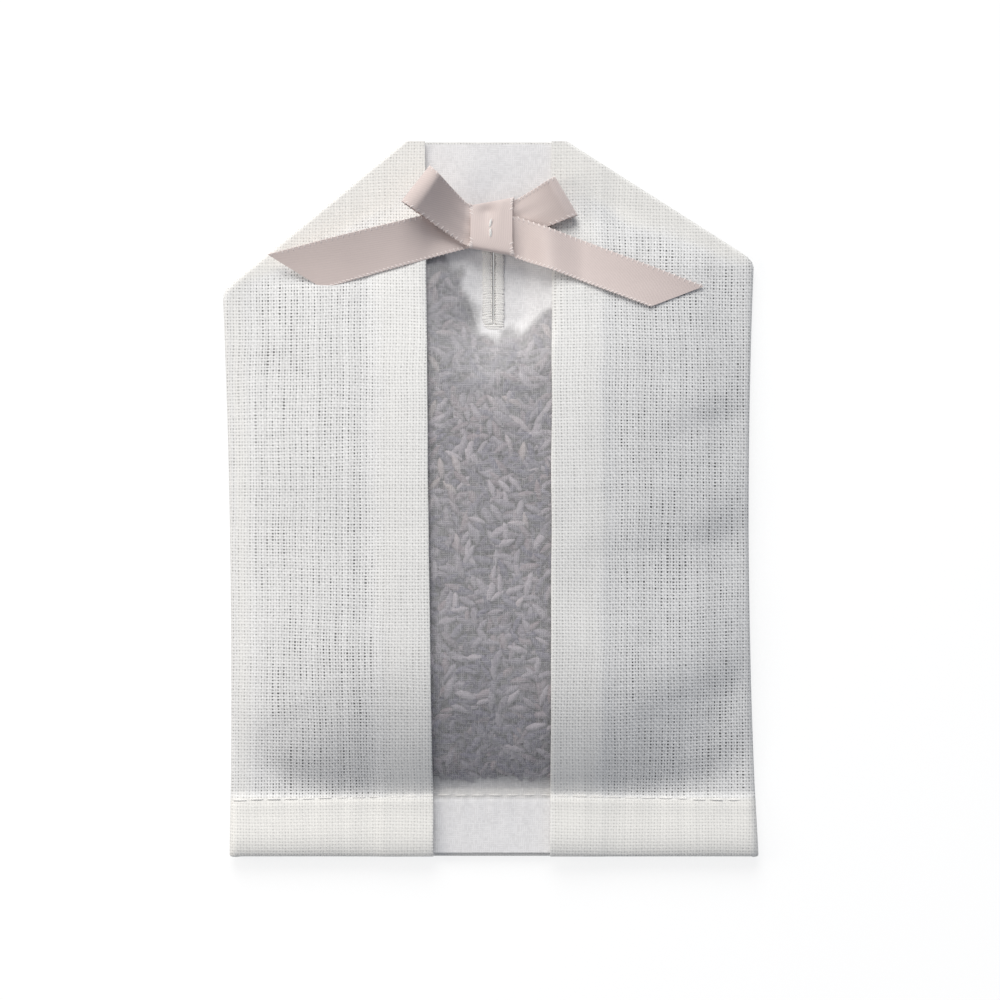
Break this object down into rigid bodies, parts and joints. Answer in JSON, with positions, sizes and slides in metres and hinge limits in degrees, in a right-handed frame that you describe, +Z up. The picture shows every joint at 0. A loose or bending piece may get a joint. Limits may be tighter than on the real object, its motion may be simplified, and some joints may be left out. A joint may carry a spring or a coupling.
{
  "type": "lavender sachet",
  "caption": "Flat linen jacket folded round a sheer pouch of dried lavender, with a worked buttonhole for a hanger hook and a satin bow.",
  "frame": {"origin": "centre of the outline on the surface that the sachet lies on, back down", "axes": "+X to the right as the front is seen, +Y from the hem to the collar, +Z up out of the front"},
  "size_m": [0.12, 0.16, 0.0145],
  "materials": {
    "linen": "open plain weave, matt",
    "voile": "sheer fine weave",
    "lavender": "dried buds, matt",
    "thread": "matt cotton",
    "ribbon": "satin"
  },
  "bodies": {
    "sachet": {"linen_jacket": "linen", "pouch_front": "voile", "pouch_back": "voile", "lavender_fill": "lavender", "buttonhole_edging": "thread", "hem_thread": "thread", "knot_band": "ribbon", "bow_core": "ribbon", "tack_thread": "thread"},
    "left_tail": {"bow_left_tail": "ribbon"},
    "left_loop": {"bow_left_loop": "ribbon"},
    "right_loop": {"bow_right_loop": "ribbon"},
    "right_tail": {"bow_right_tail": "ribbon"}
  },
  "joints": [
    {"name": "left_tail_lift", "type": "hinge", "parent": "sachet", "child": "left_tail", "pos_m": [-0.00475, 0.0607, 0.0058], "axis": [0, 1, 0], "range_deg": [0, 65]},
    {"name": "left_loop_lift", "type": "hinge", "parent": "left_tail", "child": "left_loop", "pos_m": [-0.00475, 0.0607, 0.0058], "axis": [0, 1, 0], "range_deg": [0, 25]},
    {"name": "right_loop_lift", "type": "hinge", "parent": "sachet", "child": "right_loop", "pos_m": [0.00515, 0.0607, 0.0058], "axis": [0, -1, 0], "range_deg": [0, 25]},
    {"name": "right_tail_lift", "type": "hinge", "parent": "right_loop", "child": "right_tail", "pos_m": [0.00515, 0.0607, 0.0058], "axis": [0, -1, 0], "range_deg": [0, 65]}
  ]
}
